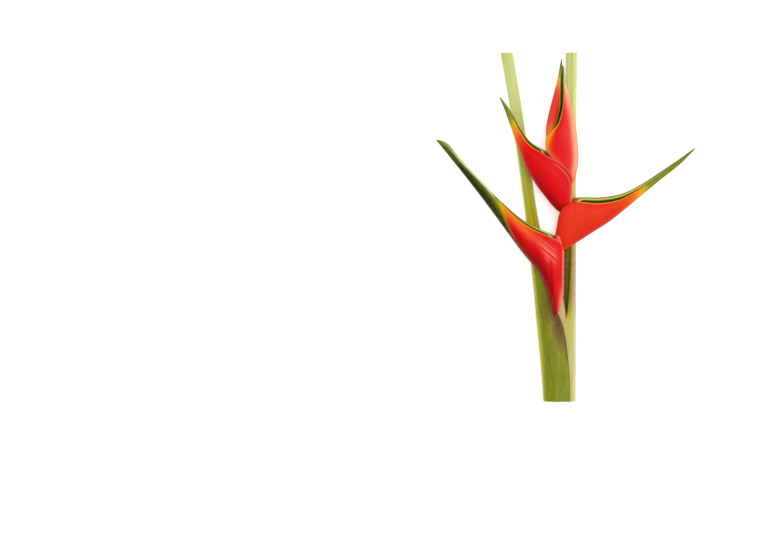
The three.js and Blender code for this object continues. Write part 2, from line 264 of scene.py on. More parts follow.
def blend(tree, share, low, high, how="MIX"):
    """One colour laid over another."""
    node = add_node(tree, "Mix", {0: share}, data_type="RGBA", blend_type=how, clamp_factor=True)
    for socket, value in ((node.inputs[6], low), (node.inputs[7], high)):
        if isinstance(value, bpy.types.NodeSocket):
            tree.links.new(value, socket)
        else:
            socket.default_value = value
    return node.outputs[2]


def reckon(tree, how, *values):
    """A sum, product or other reckoning with two or three values."""
    return add_node(tree, "Math", dict(enumerate(values)), operation=how).outputs[0]


def scaled(tree, value, times, plus=0):
    """A value made larger or smaller and shifted."""
    return reckon(tree, "MULTIPLY_ADD", value, times, plus)


def plant_skin(tree):
    """What every skin of this plant is painted from: its three tones, and streaks and mottling in it."""
    grain = add_node(tree, "Attribute", {}, attribute_name="grain").outputs["Vector"]
    tones = add_node(tree, "Attribute", {}, attribute_name="tones").outputs["Vector"]
    tones = add_node(tree, "SeparateXYZ", {"Vector": tones}).outputs
    stretched = add_node(tree, "Mapping", {"Vector": grain, "Scale": (1, 0.03, 1)}).outputs["Vector"]
    streaks = add_node(tree, "TexNoise", {"Vector": stretched, "Scale": 1.1, "Detail": 4,
                                          "Roughness": 0.6}).outputs["Fac"]
    objects = add_node(tree, "TexCoord", {}).outputs["Object"]
    mottle = add_node(tree, "TexNoise", {"Vector": objects, "Scale": 260, "Detail": 5,
                                         "Roughness": 0.65}).outputs["Fac"]
    return tones, streaks, mottle


def uneven(tree, tone, streaks, mottle, by_streaks, by_mottle, shift):
    """A tone that streaks and mottling move up and down."""
    moved = scaled(tree, streaks, times=by_streaks, plus=scaled(tree, mottle, times=by_mottle, plus=shift))
    return reckon(tree, "ADD", tone, moved)


def veined(tree, shader, streaks, mottle, depth):
    """Fine lengthwise veins and a slightly uneven skin."""
    height = scaled(tree, mottle, times=0.35, plus=streaks)
    bump = add_node(tree, "Bump", {"Height": height, "Strength": 1, "Distance": depth})
    tree.links.new(bump.outputs["Normal"], shader.inputs["Normal"])


def stalk_place(row, column):
    height = STALK_TOP * max(0, min(1, (row - 1) / (STALK_ROWS - 2)))
    x, z, radius = stalk_run(height)
    angle = 2 * math.pi * column / STALK_AROUND
    radius *= 1 + RIB_HEIGHT * math.sin(STALK_RIBS * angle) * smoothstep(*RIBS_RISE, height)
    if row in (0, STALK_ROWS):  # both ends are closed by drawing their last row in to the axis
        radius = 0
    point = in_frame(x + radius * math.cos(angle), height, z + radius * math.sin(angle))
    around = STALK_GRAIN * abs(column / STALK_AROUND - 0.5)
    return point, (around, height, 0), (smoothstep(*STALK_REDDENS, height), 0, 0)


stalk_run = along(STALK_STOPS)
stalk = wrapped_grid("flower_stalk_skin", STALK_AROUND, STALK_ROWS, stalk_place)

stalk_material, shader = principled("stalk_skin", Roughness=0.42, Specular_IOR_Level=0.2)
tree = stalk_material.node_tree
tones, streaks, mottle = plant_skin(tree)
ripe = uneven(tree, tones["X"], streaks, mottle, by_streaks=0.5, by_mottle=0, shift=-0.25)
colour = ramp(tree, ripe, (
    (0.05, tint(172, 142, 104)), (0.35, tint(168, 122, 98)), (0.6, tint(176, 84, 66)),
    (0.9, tint(232, 96, 72))))
tree.links.new(colour, shader.inputs["Base Color"])
veined(tree, shader, streaks, mottle, depth=0.25 * MM)
stalk.data.materials.append(stalk_material)

# The cut ends of stalk and leaves: pale spongy tissue with darker strands.
cut_material, shader = principled("cut_tissue", Roughness=0.6, Specular_IOR_Level=0.3)
tree = cut_material.node_tree
objects = add_node(tree, "TexCoord", {}).outputs["Object"]
strands = add_node(tree, "TexVoronoi", {"Vector": objects, "Scale": 1100}).outputs["Distance"]
colour = ramp(tree, strands, (
    (0.0, tint(128, 122, 60)), (0.2, tint(190, 196, 130)), (0.6, tint(214, 216, 166)),
    (1, tint(198, 204, 140))))
tree.links.new(colour, shader.inputs["Base Color"])
bump = add_node(tree, "Bump", {"Height": strands, "Strength": 0.8, "Distance": 0.3 * MM})
tree.links.new(bump.outputs["Normal"], shader.inputs["Normal"])
stalk.data.materials.append(cut_material)
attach(stalk, "root")
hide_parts("flower_stalk")


# ---- Bracts -----------------------------------------------------------------------------------------------
# Thick waxy leaves folded into boats, which hold the flowers. Each grows round the stalk at its stern, runs
# out to a green point, and is open along the top between two turned-out lips.

BRACT_WALL = 1.6
TIP_THINNING = 0.55  # how much of the wall's thickness is lost towards the tip
THINS_ALONG = (0.5, 1)
KEEL_THICKNESS = 1.3  # times the wall
LIP_THICKNESS = 0.45  # times the wall
LEAST_BEAM = 0.15
LEAST_GAP = 0.1
RIM_ROUND = 0.35
NOSE_LENGTH = 6  # how far back from the tip the boat is rounded off
SOLID_TIP = 4  # the hollow ends this far from the tip, and the skin is left open there, inside the mouth
BRACT_ROWS = 170
ROWS_AT_STERN = 0.65  # how strongly the rows crowd together towards the stern
ROW_CROWDING = 1.6
RUN_STEP = 0.01  # over how much of the length a keel's or a lip's direction is taken
FLANK_COLUMNS = 120  # outside, from lip round the keel to lip
RIM_COLUMNS = 4
HOLLOW_COLUMNS = 48
HOLLOW_BEGINS = FLANK_COLUMNS + RIM_COLUMNS
HOLLOW_ENDS = HOLLOW_BEGINS + HOLLOW_COLUMNS
BRACT_AROUND = HOLLOW_ENDS + RIM_COLUMNS
SHOULDER, BILGE = 0.12, 0.9  # how far down the fold its curve is drawn near the lip and near the keel
PLEAT_TURNS = 90  # how closely the fine pleats near the stalk follow each other
PLEAT_SLANT = 7
PLEATS_FADE = (0.5, 0.1)
PLEATED = (0.1, 0.3, 0.5, 0.8)  # where they lie, between the lip (0) and the keel (1)

# Each bract is drawn from the stalk (0) to the tip (1), with its own values for:
#   keel, mouth   the curves that the keel and the middle of the mouth run through, in millimetres
#   form          the half beam, half the gap between the lips, and how far below the far lip the near one is
#   stern         how far from the stalk the boat is rounded off
#   pleats        the height of the fine pleats beside the stalk
#   ripeness      the colour, from red (0) by orange (0.5) to dark green (1)
#   turn          where the flank goes from red to green, and how wide a strip along the lip stays out of it
#   keel_turn     how much nearer to the stalk the green reaches at the keel, evenly and in a narrow line
#   margin        the width of the yellow margin of the lips
#   shade, bloom  how dark painted shade and how pale painted highlight make the skin along the keel
#   seam          how pale a painted highlight makes the skin where it leaves the stalk, and along the red part of the lip
#   heel          how strongly painted highlight and painted shade mark its lowest corner
#   highlight_lines  how strongly painted highlight lines, where fine pleats would catch the light, lie over
#   the flank
#   fold          how strongly painted shade and a painted highlight draw a second fold beside the near lip, which is not shaped
#   pale_lip      how pale a painted highlight makes the green part of the lip
#   dark          how close below the lip the lining of the hollow turns to painted shade
PLAIN_BRACT = dict(
    pleats=0.03, turn=None, shade=[(0, 0), (1, 0)], bloom=[(0, 0), (1, 0)], seam=0.5, heel=0, highlight_lines=0, fold=0,
    pale_lip=0, dark=0,
)
BRACTS = {
    "bract_1": dict(
        keel=[(-0.4, 107, 28), (-3.6, 94.5, 28), (-8.8, 86.6, 28), (-12.4, 98.5, 27.5), (-24, 126.5, 27),
              (-44, 152.5, 28), (-84, 206.5, 29), (-114, 244.5, 29), (-127.7, 261.2, 29)],
        mouth=[(0.3, 150, 30), (-4.3, 161, 31), (-15, 166.5, 32), (-39, 178.7, 32), (-64, 200.8, 31.5),
               (-84, 222.2, 31), (-104, 243.4, 30.5), (-116.6, 258, 30), (-126.8, 261.9, 29.3)],
        form=[(0, 8.2, 7, 1), (0.12, 8.8, 7, 1.3), (0.25, 9.4, 4, 1.5), (0.42, 7.8, 3, 1.1),
              (0.5, 6.8, 2.2, 0.5), (0.65, 5.2, 1.4, 0), (0.85, 3.2, 1, 0), (1, 1.6, 0.6, 0)],
        ripeness=[(0, 0), (0.15, 0.06), (0.22, 0.24), (0.3, 0.42), (0.38, 0.5), (0.45, 0.55), (0.5, 0.7),
                  (0.55, 0.88), (0.62, 0.97), (1, 0.9)],
        turn=(0.43, 0.53, 15), keel_turn=(0.02, 0.34), stern=14, pleats=0.05,
        margin=[(0, 0), (0.1, 0), (0.14, 0.5), (0.2, 0.8), (0.3, 1.1), (0.42, 1.2), (0.5, 1), (1, 0.9)],
        shade=[(0, 0.1), (0.03, 0.3), (0.07, 0.6), (0.12, 0.85), (0.2, 1), (0.3, 1), (0.42, 0.7), (0.5, 0.2),
               (1, 0.1)],
        heel=0.55, highlight_lines=0.26, pale_lip=1.4, dark=0.2,
    ),
    "bract_2": dict(
        keel=[(-11, 155, 28.5), (-3, 150.5, 28), (6, 155, 28), (26, 167.5, 28), (46, 180.5, 28),
              (66, 196.5, 28), (96, 221.5, 28), (116, 237.5, 28), (130.6, 252.5, 28)],
        mouth=[(-5.5, 185.5, 30.5), (-1, 194.5, 31), (9, 200.8, 31.5), (36, 200.9, 31.5), (56, 204.5, 31),
               (76, 214.7, 30.5), (96, 228, 30), (116, 242, 29), (125, 249.2, 28.6), (131, 253.6, 28.2)],
        form=[(0, 6.4, 5.6, 0.8), (0.12, 8, 6.6, 1.4), (0.25, 9.2, 4.6, 2.4), (0.4, 7.6, 3.6, 2.4),
              (0.55, 4.6, 2.6, 1.8), (0.8, 2.8, 1.6, 1.4), (0.93, 1.8, 1, 0.7), (1, 1.2, 0.5, 0.2)],
        ripeness=[(0, 0.18), (0.12, 0.22), (0.25, 0.22), (0.42, 0.24), (0.5, 0.34), (0.55, 0.48), (0.6, 0.66),
                  (0.66, 0.8), (0.8, 0.82), (1, 0.9)],
        stern=15,
        margin=[(0, 0), (0.14, 0), (0.2, 0.6), (0.28, 0.8), (0.42, 1.1), (0.6, 1.2), (0.75, 0.6), (1, 0.4)],
        shade=[(0, 0), (0.2, 0.2), (0.5, 0.1), (1, 0)],
        seam=0, pale_lip=0.5, dark=-0.3,
    ),
    "bract_3": dict(
        keel=[(7.7, 199, 29.5), (2, 188, 29), (-5, 189.8, 28.5), (-19, 205, 28), (-34, 226.5, 28),
              (-44, 249.5, 28), (-54, 276.5, 28.5), (-60.5, 294.5, 29), (-64.7, 304, 29)],
        mouth=[(9.8, 218, 30.5), (6, 230, 31), (-4, 240, 31.5), (-19, 248.5, 32), (-34, 258, 32),
               (-43.5, 271, 31.5), (-51.7, 286, 31), (-58.4, 296.8, 30), (-64.2, 304.3, 29.2)],
        form=[(0, 6, 5.4, 0.6), (0.12, 8, 6.8, 1), (0.3, 9.6, 5.6, 1.3), (0.5, 7.6, 3.2, 1.2),
              (0.7, 4.6, 1.8, 1), (0.87, 2.4, 1, 0.7), (1, 1, 0.4, 0.2)],
        ripeness=[(0, 0), (0.52, 0.03), (0.64, 0.3), (0.72, 0.54), (0.78, 0.72), (0.86, 0.83), (1, 0.93)],
        stern=9,
        margin=[(0, 0), (0.36, 0), (0.44, 0.6), (0.52, 0.9), (0.66, 1.2), (0.8, 0.8), (1, 0.4)],
        shade=[(0, 0.2), (0.08, 0.65), (0.3, 0.65), (0.45, 0.25), (0.6, 0), (1, 0)],
        seam=0.8, fold=0.6, pale_lip=0.25, dark=0.8,
    ),
    "bract_4": dict(
        keel=[(8, 213.5, 29.5), (11.5, 225, 29), (14.3, 238.5, 29), (14, 256.5, 29), (11, 280.5, 29),
              (6, 302.5, 29.5), (2, 317.5, 30), (-0.8, 336.3, 30)],
        mouth=[(-17.5, 248.5, 31), (-18, 261.5, 32), (-13, 269.5, 32.5), (-7, 277.5, 32.5),
               (-2.5, 293.5, 32), (-1.2, 309.5, 31.5), (-1.4, 323.5, 31), (-1.1, 335.7, 30.2)],
        form=[(0, 6, 4.6, 0), (0.15, 7.4, 5.6, -0.3), (0.35, 8.4, 5.2, 0.8), (0.6, 6.8, 3.6, 1),
              (0.8, 4, 1.6, 0.7), (1, 1.2, 0.4, 0.2)],
        ripeness=[(0, 0.12), (0.2, 0.04), (0.5, 0.04), (0.58, 0.14), (0.66, 0.36), (0.72, 0.54), (0.78, 0.72),
                  (0.86, 0.86), (1, 0.97)],
        stern=7,
        margin=[(0, 5), (0.12, 7), (0.2, 5.5), (0.28, 2.2), (0.38, 1), (0.7, 0.9), (1, 0.6)],
        bloom=[(0, 0.1), (0.12, 0.8), (0.3, 1.1), (0.5, 0.9), (0.7, 0.7), (0.85, 0.6), (1, 0)],
        pale_lip=0.2, dark=2.6,
    ),
    "bract_5": dict(
        keel=[(-8, 251.5, 30), (-17, 262, 30), (-18.2, 270.5, 30), (-17, 279.5, 30), (-14.4, 291.5, 30),
              (-10.5, 306.5, 30), (-7, 320.5, 30), (-4.5, 334, 30), (-2.8, 342.7, 30)],
        mouth=[(-4, 251.5, 30.5), (-8.6, 271, 30.5), (-5.6, 284, 30.5), (-3.4, 293.5, 30.5),
               (-2.6, 303, 30.5), (-2.6, 313.5, 30.5), (-2.3, 325, 30.5), (-2.1, 341.5, 30.2)],
        form=[(0, 4.6, 2, 0), (0.25, 5.4, 2, 0.4), (0.5, 5.2, 2, 1.3), (0.8, 3.2, 1.2, 0.9), (1, 1, 0.3, 0)],
        ripeness=[(0, 0.5), (0.14, 0.48), (0.24, 0.42), (0.34, 0.14), (0.56, 0.02), (0.66, 0.3), (0.74, 0.56),
                  (0.8, 0.74), (0.9, 0.88), (1, 1)],
        stern=7,
        margin=[(0, 0), (0.2, 0.4), (0.3, 0.9), (0.9, 0.9), (1, 0.4)],
        bloom=[(0, 0.1), (0.3, 0.14), (0.6, 0.12), (0.75, 0.1), (1, 0)],
        dark=2.6,
    ),
}
BractCut = namedtuple("BractCut", "t outside hollow down lean lip_lean")


def curve_through(points, steps=24):
    """A smooth curve through points, as a function of the share of its length, and that length."""
    knots = [Vector(point) for point in points]
    ends = [2 * knots[0] - knots[1]] + knots + [2 * knots[-1] - knots[-2]]
    trail = []
    for before, start, end, after in zip(ends, ends[1:], ends[2:], ends[3:]):
        gap_before, gap, gap_after = ((b - a).length ** 0.5 for a, b in
                                      ((before, start), (start, end), (end, after)))
        leave = (start - before) / gap_before - (end - before) / (gap_before + gap) + (end - start) / gap
        arrive = (end - start) / gap - (after - start) / (gap + gap_after) + (after - end) / gap_after
        trail += interpolate_bezier(start, start + leave * gap / 3, end - arrive * gap / 3, end, steps)[:-1]
    trail.append(knots[-1])
    lengths = [0]
    for a, b in zip(trail, trail[1:]):
        lengths.append(lengths[-1] + (b - a).length)

    def at(share):
        want = max(0, min(1, share)) * lengths[-1]
        i = next((n for n, far in enumerate(lengths) if far >= want and n), len(lengths) - 1)
        part = (want - lengths[i - 1]) / (lengths[i] - lengths[i - 1])
        return trail[i - 1].lerp(trail[i], part)

    return at, lengths[-1]


def fold_depth(s):
    """How far down the fold a point lies, from lip (0) to keel (1), at a share s of the way round."""
    r = 1 - s
    return 3 * SHOULDER * s * r * r + 3 * BILGE * s * s * r + s ** 3


def within(value, begins, full, fades, ends):
    """One between full and fades, and nothing below begins and above ends."""
    return smoothstep(begins, full, value) * smoothstep(ends, fades, value)


def bract_flank(bract, t, inset, columns):
    """One cut across a bract or, inset, its hollow, from the near lip round the keel to the far lip."""
    keel, mouth = bract["keel_at"](t), bract["mouth_at"](t)
    down = keel - mouth
    depth = down.length - KEEL_THICKNESS * inset
    down.normalize()
    out = (Vector((0, 0, 1)) - down * down.z).normalized()
    full_beam, full_gap, full_drop = bract["form_at"](t)
    stern = min(max(t * bract["length"] - inset, 0) / bract["stern"], 1)
    nose = min((1 - t) * bract["length"] / NOSE_LENGTH, 1)
    swell = math.sqrt((1 - (1 - stern) ** 2) * (1 - (1 - nose) ** 2))
    beam = max(full_beam - inset, LEAST_BEAM) * swell
    gap = max(full_gap - LIP_THICKNESS * inset, LEAST_GAP) * swell
    drop = full_drop * swell
    pleat = bract["pleats"] * swell * smoothstep(*PLEATS_FADE, t) if not inset else 0
    belly = (beam - gap / 8) / 0.75  # brings the flank out to the beam halfway down
    points = []
    for n in range(columns + 1):
        side = 1 - 2 * n / columns
        s = 1 - abs(side)
        r = 1 - s
        sign = math.copysign(1, side)
        across = sign * drop * r ** 3 + depth * fold_depth(s)
        fold = pleat * math.sin(PLEAT_TURNS * s + PLEAT_SLANT * t) * within(s, *PLEATED)
        points.append(mouth + down * across + out * sign * (gap * r ** 3 + 3 * belly * s * r + fold))
    return points, down


def bract_cuts(bract):
    """All the cuts of a bract: its outside, its hollow, and how askew they stand to the keel and the lip."""
    cuts = []
    for row in range(BRACT_ROWS + 1):
        share = row / BRACT_ROWS
        t = (1 - ROWS_AT_STERN) * share + ROWS_AT_STERN * share ** ROW_CROWDING
        outside, down = bract_flank(bract, t, 0, FLANK_COLUMNS)
        wall = BRACT_WALL * (1 - TIP_THINNING * smoothstep(*THINS_ALONG, t))
        t_hollow = wall / bract["length"] + t * (1 - (wall + SOLID_TIP) / bract["length"])
        hollow, _ = bract_flank(bract, t_hollow, wall, HOLLOW_COLUMNS)
        keel_run, lip_run = ((bract[line](t + RUN_STEP) - bract[line](t - RUN_STEP)).normalized()
                             for line in ("keel_at", "mouth_at"))
        cuts.append(BractCut(t, outside, hollow[::-1], down, down.cross(keel_run).length,
                             down.cross(lip_run).length))
    return cuts


# Soft stripes along a bract, each a painted shade or a painted highlight: how strong, how far from the keel,
# the lip or the stalk, and how wide.
KEEL_SHADE = (1, 3.2, 5)
KEEL_HIGHLIGHT = (1, 2.5, 3.4)
KEEL_WIDE_HIGHLIGHT = (0.16, 0, 12)
FOLD_SHADES = ((0.8, 2.3, 1.1), (0.5, 5.8, 1))
FOLD_RIDGE = (0.5, 4.1, 0.8)
RED_LIP = (0.28, 0, 1.3)
GREEN_LIP = (1, 1.4, 1.6)
SEAM = (1, 0, 7)
HEEL_HIGHLIGHT = (1, 0, 16)
HEEL_SHADE = (1, 0.12, 0.04)  # as shares of the bract's length
# Where along a bract (shares of its length), or between its lip and its keel, a painted shade or painted
# highlight begins and ends.
FOLD_FADES = (0.36, 0.16)
HEEL_PALE = (0.095, 0.05)
HEEL_REACH = (30, 12)  # in millimetres from the keel
LINED_ALONG = (0, 0.12, 0.2, 0.42)
LINED_DOWN = (0.1, 0.25, 0.5, 0.75)
LINED_ABOVE = (128, 144)  # in millimetres from the cut end, as the next is from the false stem's axis
LINED_LEFT_OF = (-2, -14)
# Red, green and the yellow margin between them.
TURNING = (0.02, 0.3, 0.85, 1)  # how green the border of red and green is, which shows as a brown line
TURNING_SHADE = 0.75
KEEL_LINE = 2.6  # how wide the keel's own green line is
FULL_GREEN = 0.97
GREEN_BEGINS = (0.75, 0.95)
LIP_GREEN_LIGHTENING = 0.14  # how much lighter the green is at the lip
MARGIN_TONE = 0.63
GREEN_MARGIN = 0.3  # how much greener the margin is where the bract is green
MARGIN_GREENS = (0.6, 0.85)
LEAST_MARGIN = 0.05
FULL_MARGIN = 0.6
LEAST_DEPTH = 0.1
MARGIN_DEPTH = 9  # in a shallower boat the margin is narrower, the green lip's painted highlight weaker, the lining's painted shade lighter
GREEN_LIP_DEPTH = 18
LINING_DEPTH = 12
GRAIN_AROUND = 22
GRAIN_INSIDE = 5


def stripe(away, strength, centre, width):
    """How strongly a soft stripe marks a point that is some way off."""
    return strength * math.exp(-((away - centre) / width) ** 2)


def bract_ripeness(bract, t, from_lip, depth):
    """How far a point has turned from red to green, and how much it stands on the border of the two."""
    ripe = bract["ripeness_at"](t)[0]
    if not bract["turn"] or depth <= bract["turn"][2]:
        return ripe, 0
    early, late, lip_strip = bract["turn"]
    evenly, in_a_line = bract["keel_turn"]
    flank = 1 - stripe(from_lip, 1, 0, lip_strip)
    t_flank = t + evenly * from_lip / depth + in_a_line * math.exp((from_lip - depth) / KEEL_LINE)
    green = smoothstep(early, late, t_flank)
    return ripe * (1 - flank) + FULL_GREEN * green * flank, flank * within(green, *TURNING)


def bract_tones(bract, cut, point, side, inside):
    """Ripeness; then the hollow's lining, which darkens into painted shade, or painted highlight (below 0);
    then painted shade and the brown line where red turns green, or painted highlight lines (below 0).
    """
    t = cut.t
    depth = (cut.outside[0] - cut.outside[FLANK_COLUMNS // 2]).length
    down = 1 - abs(side)
    from_lip = fold_depth(down) * depth
    from_keel = depth - from_lip
    square_to_keel, square_to_lip = from_keel * cut.lean, from_lip * cut.lip_lean
    ripe, turning = bract_ripeness(bract, t, from_lip, depth)

    margin = bract["margin_at"](t)[0]
    edged = min(1, max(margin, 0) / FULL_MARGIN)
    edge = edged * stripe(from_lip, 1, 0, max(margin * min(1, depth / MARGIN_DEPTH), LEAST_MARGIN))
    green = smoothstep(*GREEN_BEGINS, ripe)
    ripe += (MARGIN_TONE + GREEN_MARGIN * smoothstep(*MARGIN_GREENS, ripe) - ripe) * edge
    ripe -= LIP_GREEN_LIGHTENING * green * (from_keel / max(depth, LEAST_DEPTH)) ** 3

    # Painted shade along the keel, beside the lip for the painted fold, and at the heel. The brown line where
    # red turns to green is the skin's own colour, darkened the same way.
    fold = bract["fold"] * smoothstep(*FOLD_FADES, t)
    shade = max(
        bract["shade_at"](t)[0] * stripe(max(square_to_keel, KEEL_SHADE[1]), *KEEL_SHADE),
        TURNING_SHADE * turning,
        *(fold * stripe(square_to_lip, *crease) for crease in FOLD_SHADES),
        bract["heel"] * stripe(t, *HEEL_SHADE) * smoothstep(*HEEL_REACH, from_keel))
    # Painted highlights along the keel, where the skin leaves the stalk, at the heel, on the painted fold and
    # along the lips.
    bloom = max(
        bract["bloom_at"](t)[0] * (stripe(square_to_keel, *KEEL_HIGHLIGHT) + stripe(square_to_keel, *KEEL_WIDE_HIGHLIGHT)),
        bract["seam"] * stripe(t * bract["length"], *SEAM),
        bract["heel"] * smoothstep(*HEEL_PALE, t) * stripe(from_keel, *HEEL_HIGHLIGHT),
        fold * stripe(square_to_lip, *FOLD_RIDGE),
        (1 - edged) * min(1, bract["seam"] * 2) * stripe(from_lip, *RED_LIP),
        bract["pale_lip"] * green * stripe(from_lip, *GREEN_LIP) * min(1, depth / GREEN_LIP_DEPTH) ** 2)
    # Painted highlight lines on bract 1, where light would catch fine pleats.
    lined = (bract["highlight_lines"] * within(t, *LINED_ALONG) * within(down, *LINED_DOWN)
             * smoothstep(*LINED_ABOVE, point.y) * smoothstep(*LINED_LEFT_OF, point.x))
    # The hollow's lining: olive at the lip, pale yellow-green below it, then painted shade, then olive deep
    # inside.
    lining = edged * inside * (1 + bract["dark"] + from_lip * min(1, depth / LINING_DEPTH))
    if lining < bloom:
        lining = -bloom * (1 - inside)
    return ripe, lining, shade - lined


def bract_place(bract, cuts):
    def place(row, column):
        cut = cuts[row]
        if column <= FLANK_COLUMNS:
            point, inside, side = cut.outside[column], 0, 1 - 2 * column / FLANK_COLUMNS
        elif column < HOLLOW_BEGINS:
            inside, side = (column - FLANK_COLUMNS) / RIM_COLUMNS, -1
            point = cut.outside[-1].lerp(cut.hollow[0], inside)
        elif column <= HOLLOW_ENDS:
            n = column - HOLLOW_BEGINS
            point, inside, side = cut.hollow[n], 1, 2 * n / HOLLOW_COLUMNS - 1
        else:
            inside, side = 1 - (column - HOLLOW_ENDS) / RIM_COLUMNS, 1
            point = cut.outside[0].lerp(cut.hollow[-1], inside)
        if 0 < inside < 1:
            point -= cut.down * RIM_ROUND * math.sin(math.pi * inside)
        grain = (side * GRAIN_AROUND, cut.t * bract["length"], GRAIN_INSIDE * inside)
        return in_frame(*point), grain, bract_tones(bract, cut, point, side, inside)

    return place


# The colours of painted highlight, on red and on green skin.
HIGHLIGHT_ON_RED = tint(238, 142, 112)
HIGHLIGHT_ON_GREEN = tint(190, 196, 138)
GREEN_SHOWS = (0.6, 0.8)  # from which ripeness painted highlight and lining are those of the green part
LINES_TURN = (0, 0, math.radians(140))
LINES_SPACING = (1 / 20, 1 / 1500, 1 / 60)  # in metres, along and across the lines and through the skin
LINING_REACH = 0.08  # the colours of the lining are spread over 1 / 0.08 mm below the lip
# The lining's colours by depth below the lip: olive, pale yellow-green brightened as a painted highlight, a
# dark band of painted shade, then olive deep inside.
DEEP_LINING = ((0.23, tint(110, 112, 22)), (0.3, tint(48, 54, 8)), (0.5, tint(62, 68, 12)),
               (0.95, tint(128, 134, 50)))
RED_LINING = ((0.02, tint(140, 142, 44)), (0.085, tint(140, 138, 36)), (0.125, tint(232, 222, 124)),
              (0.185, tint(226, 214, 100)))
GREEN_LINING = ((0.02, tint(132, 142, 60)), (0.085, tint(144, 152, 78)), (0.185, tint(190, 196, 130)))

bract_material, shader = principled("bract_skin", Roughness=0.42, Specular_IOR_Level=0.06)
tree = bract_material.node_tree
tones, streaks, mottle = plant_skin(tree)
ripe = uneven(tree, tones["X"], streaks, mottle, by_streaks=0.2, by_mottle=0.1, shift=-0.17)
skin_colour = ramp(tree, ripe, (
    (0.04, tint(199, 6, 12)), (0.2, tint(206, 42, 20)), (0.38, tint(212, 84, 16)), (0.52, tint(220, 126, 16)),
    (0.66, tint(194, 158, 20)), (0.8, tint(112, 120, 12)), (0.95, tint(30, 38, 3)), (1, tint(22, 29, 2))))
streak_share = scaled(tree, streaks, times=1.2, plus=-0.5)
streaked = blend(tree, streak_share, skin_colour, tint(208, 204, 204), "MULTIPLY")
# Painted shade, and the brown line where red turns to green, darken the skin.
shaded = blend(tree, tones["Z"], streaked, tint(168, 96, 112), "MULTIPLY")

greenness = add_node(tree, "MapRange", {"Value": tones["X"], "From Min": GREEN_SHOWS[0],
                                        "From Max": GREEN_SHOWS[1]}).outputs["Result"]
highlight_colour = blend(tree, greenness, HIGHLIGHT_ON_RED, HIGHLIGHT_ON_GREEN)
objects = add_node(tree, "TexCoord", {}).outputs["Object"]
combed = add_node(tree, "Mapping", {"Vector": objects, "Rotation": LINES_TURN, "Scale": LINES_SPACING},
                  vector_type="TEXTURE").outputs["Vector"]
# Painted highlight lines, laid slantwise over the skin.
highlight_lines = add_node(tree, "TexNoise", {"Vector": combed, "Scale": 1, "Detail": 2,
                                    "Roughness": 0.5}).outputs["Fac"]
highlight_lines = add_node(tree, "MapRange", {"Value": highlight_lines, "From Min": 0.47, "From Max": 0.62, "To Min": -0.1,
                                    "To Max": -2.2}, interpolation_type="SMOOTHSTEP").outputs["Result"]
lined = blend(tree, reckon(tree, "MULTIPLY", tones["Z"], highlight_lines), shaded, highlight_colour)
# Painted highlight, a little streaky.
highlight_share = reckon(tree, "MULTIPLY", tones["Y"], scaled(tree, streaks, times=-1.4, plus=-0.3))
highlighted = blend(tree, highlight_share, lined, highlight_colour)

down_lining = scaled(tree, tones["Y"], times=LINING_REACH)
lining_colour = blend(tree, greenness, ramp(tree, down_lining, RED_LINING + DEEP_LINING),
                      ramp(tree, down_lining, GREEN_LINING + DEEP_LINING))
colour = blend(tree, scaled(tree, tones["Y"], times=1.4), highlighted, lining_colour)
tree.links.new(colour, shader.inputs["Base Color"])
veined(tree, shader, streaks, mottle, depth=0.13 * MM)

for bract_name, own_values in BRACTS.items():
    bract = PLAIN_BRACT | own_values
    bract["keel_at"], bract["length"] = curve_through(bract["keel"])
    bract["mouth_at"], _ = curve_through(bract["mouth"])
    for value in ("form", "ripeness", "margin", "shade", "bloom"):
        bract[value + "_at"] = along(bract[value])
    skin = wrapped_grid(bract_name + "_skin", BRACT_AROUND, BRACT_ROWS, bract_place(bract, bract_cuts(bract)))
    skin.data.materials.append(bract_material)
    skin.data.materials.append(bract_material)  # a bract has no knife cut, so faces set apart as one get skin
    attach(skin, "root")
    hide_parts(bract_name)


# ---- Leaves -----------------------------------------------------------------------------------------------
# Two leaves rise from the false stem. Each is a petiole that widens downwards into a sheath, rolled round
# what is inside it. Blades are cut away above, and both ends are flat knife cuts through spongy tissue.

STEM_LENGTH = 349.5
LEAF_ROWS = 220
LEAF_STEPS = 72  # from one margin to the other, outside and inside alike
LEAF_RIM = 4
LEAF_BACK = LEAF_STEPS + LEAF_RIM
LEAF_AROUND = 2 * LEAF_BACK
THIN_EDGE = 0.8
GROOVE_DEPTH = 0.3
GROOVE_BEGINS = (150, 205)  # where up the stem the channel closes to a groove

